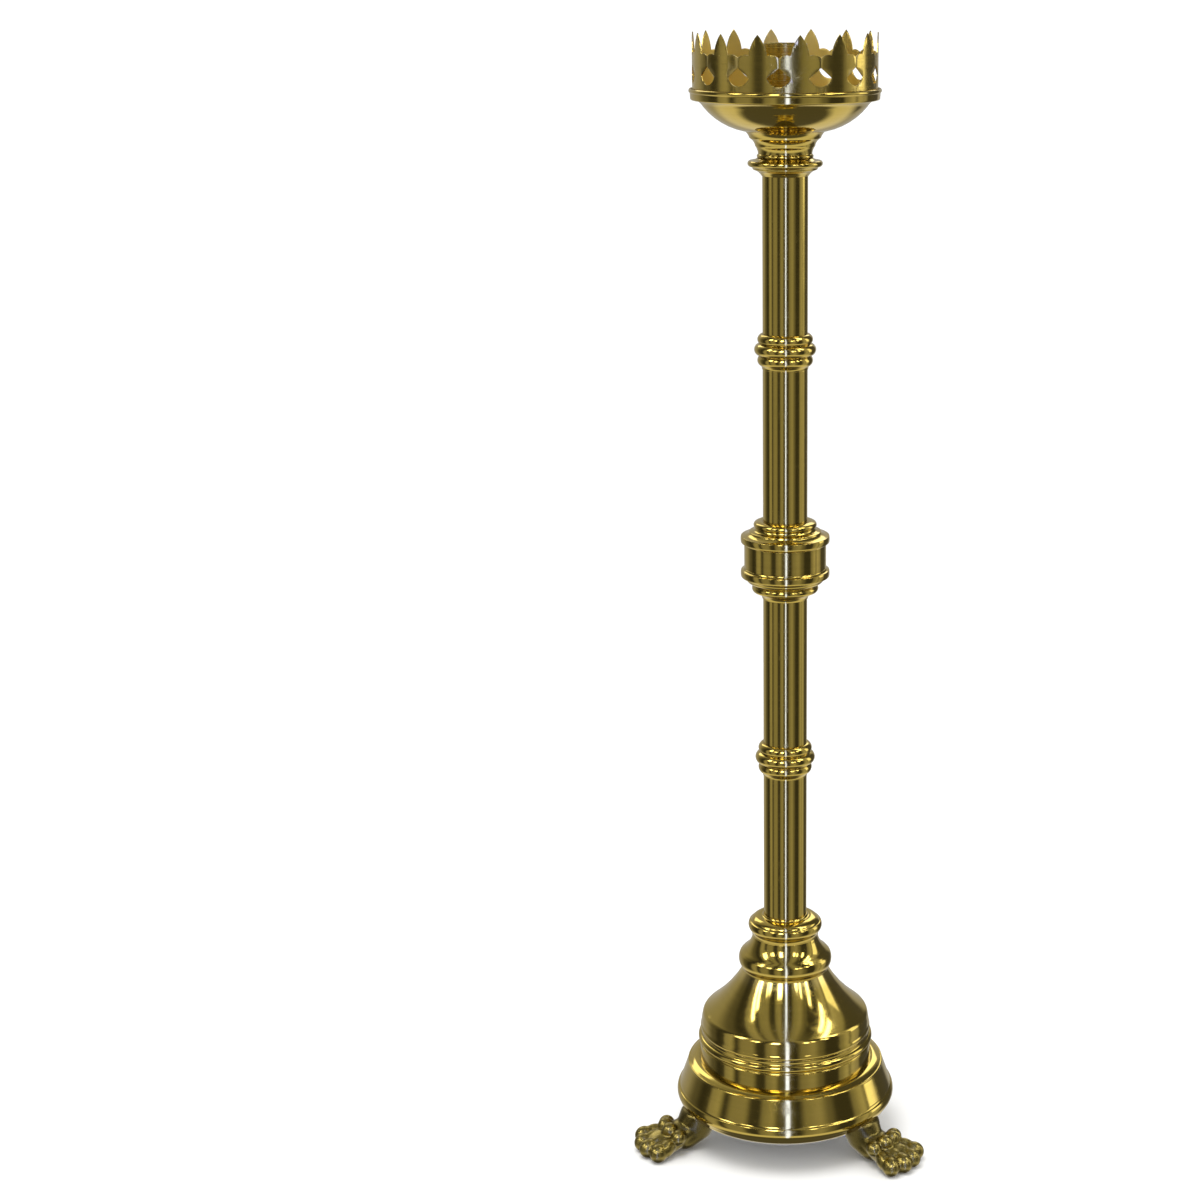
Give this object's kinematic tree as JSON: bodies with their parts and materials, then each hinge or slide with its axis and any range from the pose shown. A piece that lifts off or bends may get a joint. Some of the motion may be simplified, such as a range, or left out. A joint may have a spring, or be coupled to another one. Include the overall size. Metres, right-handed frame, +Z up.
{
  "type": "altar candlestick",
  "caption": "Floor-standing altar candlestick: tube column with turned knops, stepped bell base on paw feet, drip pan with lift-off pierced crown and candle socket.",
  "frame": {"origin": "point of the floor under the column's axis", "axes": "+Z up along the column's axis; -Y to the front, between the two front feet; +X to the right"},
  "size_m": [0.3444, 0.3232, 1.285],
  "materials": {
    "polished_spun_brass": "spun and polished, thin lacquer",
    "polished_turned_brass": "turned and polished, fine lathe lines",
    "polished_tube_brass": "drawn tube, polished along its length",
    "cast_brass": "sand cast, dull between the toes, rubbed bright on the high spots",
    "crown_sheet_brass": "sheet, sawn and polished on its faces",
    "brushed_tube_brass": "drawn tube, brushed round",
    "rod_steel": "zinc plated",
    "cast_iron": "black painted casting"
  },
  "bodies": {
    "stand": {"base_drum": "polished_spun_brass", "base_step": "polished_spun_brass", "base_bell": "polished_spun_brass", "drip_pan": "polished_spun_brass", "neck_cup": "polished_turned_brass", "base_collar": "polished_turned_brass", "small_knop_lower": "polished_turned_brass", "mid_knop_cup": "polished_turned_brass", "mid_knop_band": "polished_turned_brass", "mid_knop_cap": "polished_turned_brass", "small_knop_upper": "polished_turned_brass", "capital_ring": "polished_turned_brass", "capital": "polished_turned_brass", "column_tube_1": "polished_tube_brass", "column_tube_2": "polished_tube_brass", "column_tube_3": "polished_tube_brass", "column_tube_4": "polished_tube_brass", "foot_front_left": "cast_brass", "foot_front_right": "cast_brass", "foot_rear": "cast_brass", "socket_spigot": "brushed_tube_brass", "tie_rod": "rod_steel", "rod_nut_top": "rod_steel", "rod_nut_bottom": "rod_steel", "rod_washer": "rod_steel", "foot_screws": "rod_steel", "base_plate": "cast_iron"},
    "crown": {"crown": "crown_sheet_brass"},
    "socket": {"candle_socket": "brushed_tube_brass", "socket_floor": "brushed_tube_brass"}
  },
  "joints": [
    {"name": "crown_lift", "type": "slide", "parent": "stand", "child": "crown", "axis": [0, 0, 1], "range_m": [0, 0.07]},
    {"name": "socket_lift", "type": "slide", "parent": "stand", "child": "socket", "axis": [0, 0, 1], "range_m": [0, 0.11]}
  ]
}
